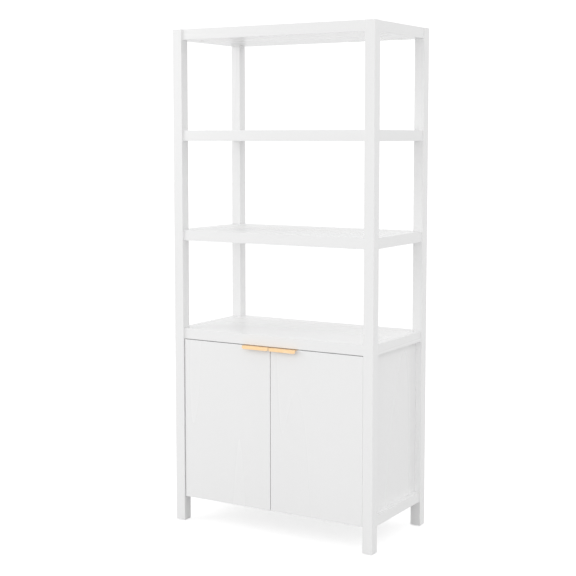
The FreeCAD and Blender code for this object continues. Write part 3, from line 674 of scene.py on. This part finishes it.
def machine_screw(node, grip):
    """A blunt machine screw, as long as those of a node. Its shank is plain as far as it grips."""
    length = length_of(node)
    shape = bmesh.new()
    head_rim, tip_rim = thread(
        shape, SCREW_HEAD_HEIGHT + grip, length - MACHINE_SCREW_TIP,
        MACHINE_SCREW_ROOT, MACHINE_SCREW_RADIUS, MACHINE_SCREW_PITCH)
    turn_on(shape, tip_rim, [(length, MACHINE_SCREW_TIP_RADIUS)])
    pan_head(shape, head_rim, MACHINE_SCREW_RADIUS)
    return closed(shape)


for side in ("left", "right"):
    finish_piece(side + "_hinge_arms", nickel)
    screws = side + "_arm_screws"
    fit_in_place_of(
        screws, side + "_arm_machine_screws", "root", bright_zinc,
        machine_screw(screws, ARM_THICK), outward)

# ---- Pulls ----
# Brass strip, folded over the upper edge of each door, brushed along its length and clear-lacquered. Two
# brass-plated wood screws hold it at the back. The brushing draws the highlights out along the pull, and
# broad lighter streaks along it are painted highlights in its colour.
PULL_THICK = 0.0012
BRASS_TONES = ("E9C392", "F2D5AF")
BRASS_ROUGHNESS = (0.24, 0.36)
BRUSH_WIDTH = 0.0006           # lines and streaks, as wide as they need to show
BRUSH_LENGTH = 0.05
BRUSH_DEPTH = 0.000008
# The broad lighter streaks in the brass colour are painted highlights; the fine lines are the brushing.
HIGHLIGHT_STREAK_SIZE = (0.03, 0.004, 0.003)  # along the pull, from front to back, and up
HIGHLIGHT_STREAK_SHARE = 0.6             # of the tone's change that the streaks make, and not the lines


def brushed_brass():
    """Pale brass, brushed along the pull: long fine lines, with broad painted highlight streaks."""
    material, place = new_material("brushed_brass")
    along = add_node(
        material, "Mapping", {"Vector": place, "Scale": stretched("x", BRUSH_WIDTH, BRUSH_LENGTH)})
    lines = add_node(
        material, "TexNoise", {"Vector": along, "Scale": 1.0, "Detail": 3.0, "Roughness": 0.6})
    spread = add_node(material, "MapRange", {**MID_NOISE, "Value": lines})
    # Broad streaks of a lighter colour, painted in as highlights
    broad = add_node(material, "Mapping", {"Vector": place, "Scale": [1 / size for size in HIGHLIGHT_STREAK_SIZE]})
    streaks = add_node(material, "TexNoise", {"Vector": broad, "Scale": 1.0, "Detail": 1.0})
    streaks = add_node(material, "MapRange", {**MID_NOISE, "Value": streaks})
    tone = add_node(material, "Mix", {"Factor": HIGHLIGHT_STREAK_SHARE, "A": spread, "B": streaks})
    colour = add_node(
        material, "Mix",
        {"Factor": tone, "A": linear(BRASS_TONES[0]), "B": linear(BRASS_TONES[1])}, data_type="RGBA")
    roughness = add_node(
        material, "Mix", {"Factor": spread, "A": BRASS_ROUGHNESS[0], "B": BRASS_ROUGHNESS[1]})
    relief = add_node(material, "Bump", {"Height": lines, "Distance": BRUSH_DEPTH, "Strength": 1.0})
    shader = add_node(
        material, "BsdfPrincipled",
        {"Base Color": colour, "Metallic": 1.0, "Roughness": roughness, "Normal": relief})
    add_node(material, "OutputMaterial", {"Surface": shader})
    return material


brass = brushed_brass()
brass_plate = plated_metal(
    "brass_plated_steel", ("DDB77A", "EBC48A"), grit=0.0005, dull=(0.24, 0.34), height=TURNED_RELIEF)
for side in ("left", "right"):
    finish_piece(side + "_pull", brass)
    screws = side + "_pull_screws"
    fit_in_place_of(
        screws, side + "_pull_wood_screws", side + "_door", brass_plate,
        wood_screw(screws, PULL_THICK), lambda middle: INTO_DOOR)

# ---- Floor and backdrop ----
# A pale sheet that the bookcase stands on. It looks white where nothing shades it, and the object's shadow
# shows on it.
FLOOR_SIZE = 60.0
FLOOR_WHITE = "C4C4C4"
WHITE_LIFT = 0.68              # light that the sheet adds where it is seen, straight or mirrored


def seen_or_mirrored(owner):
    """1 where a ray comes from the camera, from a glossy face or through a clear one, else 0."""
    rays = add_node(owner, "LightPath").outputs
    seen = add_node(
        owner, "Math", {0: rays["Is Camera Ray"], 1: rays["Is Glossy Ray"]}, operation="MAXIMUM")
    return add_node(owner, "Math", {0: seen, 1: rays["Is Transmission Ray"]}, operation="MAXIMUM")


sheet = bmesh.new()
bmesh.ops.create_grid(sheet, x_segments=1, y_segments=1, size=FLOOR_SIZE / 2)
floor = bpy.data.objects.new("floor", bpy.data.meshes.new("floor"))
sheet.to_mesh(floor.data)
sheet.free()
bpy.context.scene.collection.objects.link(floor)

paper, _ = new_material("white_backdrop_paper")
matt = add_node(paper, "BsdfDiffuse", {"Color": linear(FLOOR_WHITE)})
lift = add_node(paper, "Emission", {"Color": linear("FFFFFF"), "Strength": WHITE_LIFT})
lifted = add_node(paper, "AddShader", {0: matt, 1: lift})
both = add_node(paper, "MixShader", {0: seen_or_mirrored(paper), 1: matt, 2: lifted})
add_node(paper, "OutputMaterial", {"Surface": both})
floor.data.materials.append(paper)

# ---- Light ----
# Soft studio light: a pale room all round, one large soft lamp high on the left in front, a wide soft lamp
# beside the camera that opens the corners, and a weak small one at the right end for the posts' upper parts.
ROOM_LIGHT = 0.88
ROOM_MIRRORED = 1.0
SEEN_LIFT = 0.16               # light that the camera sees in addition, up to that of the far floor

world = bpy.data.worlds.new("studio")
bpy.context.scene.world = world
world.use_nodes = True
world.node_tree.nodes.clear()
mirrored = add_node(
    world, "MapRange", {"Value": seen_or_mirrored(world), "To Min": ROOM_LIGHT, "To Max": ROOM_MIRRORED})
straight = add_node(world, "LightPath").outputs["Is Camera Ray"]
strength = add_node(world, "Math", {0: straight, 1: SEEN_LIFT, 2: mirrored}, operation="MULTIPLY_ADD")
room = add_node(world, "Background", {"Color": linear("FFFFFF"), "Strength": strength})
add_node(world, "OutputWorld", {"Surface": room})


def softbox(name, place, aim, side, watts):
    """A square soft lamp that faces a point."""
    lamp = bpy.data.lights.new(name, "AREA")
    lamp.size = side
    lamp.energy = watts
    holder = bpy.data.objects.new(name, lamp)
    bpy.context.scene.collection.objects.link(holder)
    holder.location = place
    holder.rotation_mode = "QUATERNION"
    holder.rotation_quaternion = (Vector(aim) - Vector(place)).to_track_quat("-Z", "Y")


softbox("key_lamp", place=(-3.4, -2.4, 2.2), aim=(0, 0, 1.0), side=2.4, watts=35.7)
softbox("front_fill", place=(2.2, -4.2, 1.2), aim=(0, 0, 1.0), side=2.0, watts=22.6)
softbox("side_lamp", place=(2.6, 0.6, 3.2), aim=(0, 0, 1.8), side=1.1, watts=6.0)

# ---- Camera ----
# It stands in front on the right, at the height of the upper shelf, and looks slightly down. A small shift
# of the lens sets the height of the bookcase in the picture.
CAMERA_PLACE = (2.3209, -3.9565, 1.4154)
CAMERA_TILT = 0.0948           # radians down from level
CAMERA_TURN = 0.5399           # radians to the left of straight on
LENS = 79.41
PICTURE_SIZE = 576             # pixels each way
PICTURE_SHIFT = -30            # pixels

camera_data = bpy.data.cameras.new("camera")
camera_data.lens = LENS
camera_data.shift_y = PICTURE_SHIFT / PICTURE_SIZE
camera = bpy.data.objects.new("camera", camera_data)
bpy.context.scene.collection.objects.link(camera)
camera.location = CAMERA_PLACE
camera.rotation_euler = (math.pi / 2 - CAMERA_TILT, 0, CAMERA_TURN)
bpy.context.scene.camera = camera
bpy.context.scene.view_settings.view_transform = "Standard"
